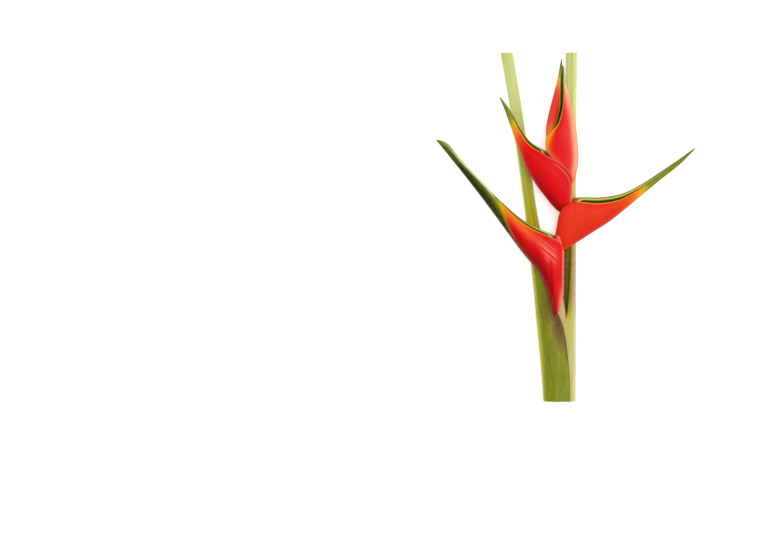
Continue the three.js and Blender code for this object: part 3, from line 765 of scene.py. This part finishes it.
# Distance up the stem; x, z, half width and half height of the leaf's outline; x, z and radius of the
# channel inside it; and the angles at which its two margins stand, round the channel.
LEAVES = {
    "leaf_left": [
        (0, -6, 13.9, 14.5, 15, 0, 15, 12.3, 60, 300),
        (16, -6.8, 13.9, 14.6, 15, 0, 14.9, 12.2, 62, 299),
        (32, -7.95, 15.1, 14.75, 15, -0.1, 14.8, 12.1, 66, 298),
        (56.5, -10.2, 15.2, 14.8, 14.6, -0.8, 14.8, 11.7, 74, 297),
        (76.5, -12.75, 14.6, 14.25, 13.6, -3.2, 16.3, 10.6, 79, 297),
        (89.5, -15.15, 13.7, 13.15, 12.4, -6, 17.4, 9.5, 91, 302),
        (111.5, -18.85, 11.4, 11.35, 9.8, -11, 16.5, 7.5, 112, 315),
        (136.5, -23.5, 9.8, 9.5, 8, -17.5, 14.5, 5.2, 118, 330),
        (161.5, -28.5, 8.6, 7.5, 6.8, -24.5, 13, 3.2, 122, 340),
        (196.5, -34, 7.6, 6, 6, -32, 12, 2, 128, 348),
        (251.5, -41.85, 6.9, 5.85, 5.8, -40.2, 11.2, 1.7, 130, 350),
        (301.5, -49.5, 6.4, 6, 5.8, -48, 10.8, 1.6, 130, 350),
        (349.5, -57.5, 5.8, 6.5, 6.2, -56, 10.9, 1.7, 130, 350),
    ],
    "leaf_right": [
        (0, 0, 15, 12, 11.6, -0.5, 15, 6.85, 162, 498),
        (41.5, 0.3, 14.8, 11.8, 11.2, -1.2, 16.5, 6.6, 154, 486),
        (71.5, 1.2, 13.9, 10.9, 10.2, -2.2, 18.8, 6.4, 165, 435),
        (89.5, 2.5, 12.7, 9.6, 9, -0.5, 17.6, 5.8, 174, 410),
        (111.5, 4, 11.1, 8, 7.8, 1.3, 15.4, 4.8, 178, 398),
        (139.5, 5.3, 9.5, 6.8, 6.6, 3.2, 13.2, 3.6, 180, 390),
        (176.5, 6, 8.3, 6, 5.9, 4.8, 12.3, 2.4, 180, 385),
        (231.5, 6.7, 7.3, 5.7, 5.6, 5.8, 11.7, 1.8, 180, 382),
        (291.5, 7, 6.7, 5.6, 5.6, 6.2, 11.2, 1.6, 180, 380),
        (349.5, 7.5, 5.5, 6, 5.9, 6.7, 10.7, 1.6, 180, 380),
    ],
}


LeafCut = namedtuple("LeafCut", "x z half_width half_height channel_x channel_z radius first last")


def leaf_point(cut, height, share, inside):
    """A point of a leaf, from one margin (0) to the other (1) and from its outside (0) to its inside (1)."""
    angle = math.radians(cut.first + (cut.last - cut.first) * share)
    cosine, sine = math.cos(angle), math.sin(angle)
    dx, dz = (cut.channel_x - cut.x) / cut.half_width, (cut.channel_z - cut.z) / cut.half_height
    ux, uz = cosine / cut.half_width, sine / cut.half_height
    a, b, c = ux * ux + uz * uz, dx * ux + dz * uz, dx * dx + dz * dz - 1
    outline = (math.sqrt(max(b * b - a * c, 0)) - b) / a  # from the channel's axis, on that angle
    edge = max(outline, cut.radius + THIN_EDGE)
    far = edge + (cut.radius - edge) * inside
    return Vector((cut.channel_x + far * cosine, height, max(cut.channel_z + far * sine, 0)))


def petiole_point(cut, height, share, inside):
    """The same point higher up, where the channel is only a shallow groove across the top."""
    outer = leaf_point(cut, height, share, 0)
    groove = leaf_point(cut, height, 0, 0).lerp(leaf_point(cut, height, 1, 0), share)
    groove.z -= GROOVE_DEPTH * math.sin(math.pi * share)
    return outer.lerp(groove, inside)


# Distance up the stem, how olive the skin is, how wide the margin has dried, and how beige the right side is.
LEAF_TONES = {
    "leaf_left": [
        (0, 0.88, 0.9, 0), (20, 0.9, 1.6, 0), (45, 0.88, 5, 0), (60, 0.86, 11, 0), (85, 0.86, 15, 0),
        (104, 0.9, 8, 0), (118, 0.86, 2, 0), (145, 0.7, 0, 0), (200, 0.52, 0, 0), (260, 0.26, 0, 0),
        (300, 0.02, 0, 0), (349.5, 0.08, 0, 0),
    ],
    "leaf_right": [
        (0, 0.2, 0, 0.45), (20, 0.26, 0, 0.45), (60, 0.32, 0, 0.5), (76, 0.36, 0, 0.55), (88, 0.75, 6, 0.7),
        (120, 0.8, 9, 0.9), (150, 0.7, 7, 0.9), (175, 0.4, 0, 0.2), (240, 0.12, 0, 0), (349.5, 0.04, 0, 0),
    ],
}
TONE_SLANT = 1.8  # how far the tones climb down round the right side
SLANTED = (0.3, 0.8)  # from the middle (0) to the right edge (1), as all shares across a leaf
# Painted highlight along both sides of each leaf, where the rounded sides catch the light.
PALE_SIDES = (0.7, 0.92)
SIDES_PALE_UP = (-120, 230)
SIDE_PALENESS = 0.7
LEFT_EDGE = (0.7, 0.96)
LEFT_EDGE_UP = (200, 300)
LEFT_EDGE_OLIVE = 0.6
BEIGE_FROM = (-0.2, 0.3)  # on the sheath and on the petiole
SHEATH_ENDS = (76, 90)
BEIGE_FULL = 0.7
DARK_GAP = (1, 1.6, 1.6)  # painted shadow in the gap between the flower stalk and the right leaf: strength, x and width
GAP_SPAN = (86, 96, 130, 150)
LEAST_DRY = 0.1
LEAF_GRAIN = 40
LEAF_GRAIN_INSIDE = 3


def leaf_tones(cut, point, inside, from_margin, tone_at):
    """How olive a point is, how dry or darkened by painted shadow, and how beige."""
    height = point.y
    across = (point.x - cut.x) / cut.half_width
    slant = TONE_SLANT * (cut.z - point.z) * smoothstep(*SLANTED, across)
    olive, dry_width, beige = tone_at(max(0, height + slant))
    # Both sides are paler: a painted highlight.
    olive -= SIDE_PALENESS * smoothstep(*PALE_SIDES, abs(across)) * smoothstep(*SIDES_PALE_UP, height)
    olive += LEFT_EDGE_OLIVE * smoothstep(*LEFT_EDGE, -across) * smoothstep(*LEFT_EDGE_UP, height)
    dry_and_gap_shade = stripe(from_margin, 1, 0, dry_width) if dry_width > LEAST_DRY else 0
    if inside == 1 and cut.x > 0:  # the inside of the right leaf, where painted shadow fills the gap beside the flower stalk in the dried margin's brown
        dry_and_gap_shade = max(dry_and_gap_shade, stripe(point.x, *DARK_GAP) * within(height, *GAP_SPAN))
    on_sheath, on_petiole = BEIGE_FROM
    beige_from = on_sheath + (on_petiole - on_sheath) * smoothstep(*SHEATH_ENDS, height)
    return olive, dry_and_gap_shade, beige * (1 - inside) * smoothstep(beige_from, BEIGE_FULL, across)


def leaf_place(leaf, tone_at):
    def place(row, column):
        height = STEM_LENGTH * max(0, min(1, (row - 1) / (LEAF_ROWS - 2)))
        if column <= LEAF_STEPS:
            share, inside = column / LEAF_STEPS, 0
        elif column < LEAF_BACK:
            share, inside = 1, (column - LEAF_STEPS) / LEAF_RIM
        elif column <= LEAF_BACK + LEAF_STEPS:
            share, inside = 1 - (column - LEAF_BACK) / LEAF_STEPS, 1
        else:
            share, inside = 0, (LEAF_AROUND - column) / LEAF_RIM
        if row in (0, LEAF_ROWS):  # both ends are closed along the middle of the wall
            inside = 0.5
        cut = LeafCut(*leaf(height))
        point = leaf_point(cut, height, share, inside).lerp(
            petiole_point(cut, height, share, inside), smoothstep(*GROOVE_BEGINS, height))
        from_margin = (leaf_point(cut, height, 0, 0) - point).length
        grain = (share * LEAF_GRAIN, height, LEAF_GRAIN_INSIDE * inside)
        return in_frame(*point), grain, leaf_tones(cut, point, inside, from_margin, tone_at)

    return place


leaf_material, shader = principled("leaf_skin", Roughness=0.44, Specular_IOR_Level=0.16)
tree = leaf_material.node_tree
tones, streaks, mottle = plant_skin(tree)
olive = uneven(tree, tones["X"], streaks, mottle, by_streaks=0.7, by_mottle=0.25, shift=-0.48)
skin_colour = ramp(tree, olive, (
    (0.0, tint(184, 192, 120)), (0.3, tint(152, 162, 64)), (0.6, tint(162, 156, 6)),
    (0.85, tint(114, 118, 3)), (1, tint(94, 108, 4))))
sided = blend(tree, scaled(tree, tones["Z"], times=0.85), skin_colour, tint(170, 142, 118))
dry_and_gap_shade = reckon(tree, "MULTIPLY", tones["Y"], scaled(tree, mottle, times=1.4, plus=0.35))
colour = blend(tree, dry_and_gap_shade, sided, tint(92, 62, 26))
tree.links.new(colour, shader.inputs["Base Color"])
veined(tree, shader, streaks, mottle, depth=0.25 * MM)
for leaf_name, leaf_slot in (("leaf_left", "outer_leaf"), ("leaf_right", "inner_leaf")):
    skin = wrapped_grid(leaf_name + "_skin", LEAF_AROUND, LEAF_ROWS,
                        leaf_place(along(LEAVES[leaf_name]), along(LEAF_TONES[leaf_name])))
    skin.data.materials.append(leaf_material)
    skin.data.materials.append(cut_material)
    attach(skin, "root")
    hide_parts(leaf_name)
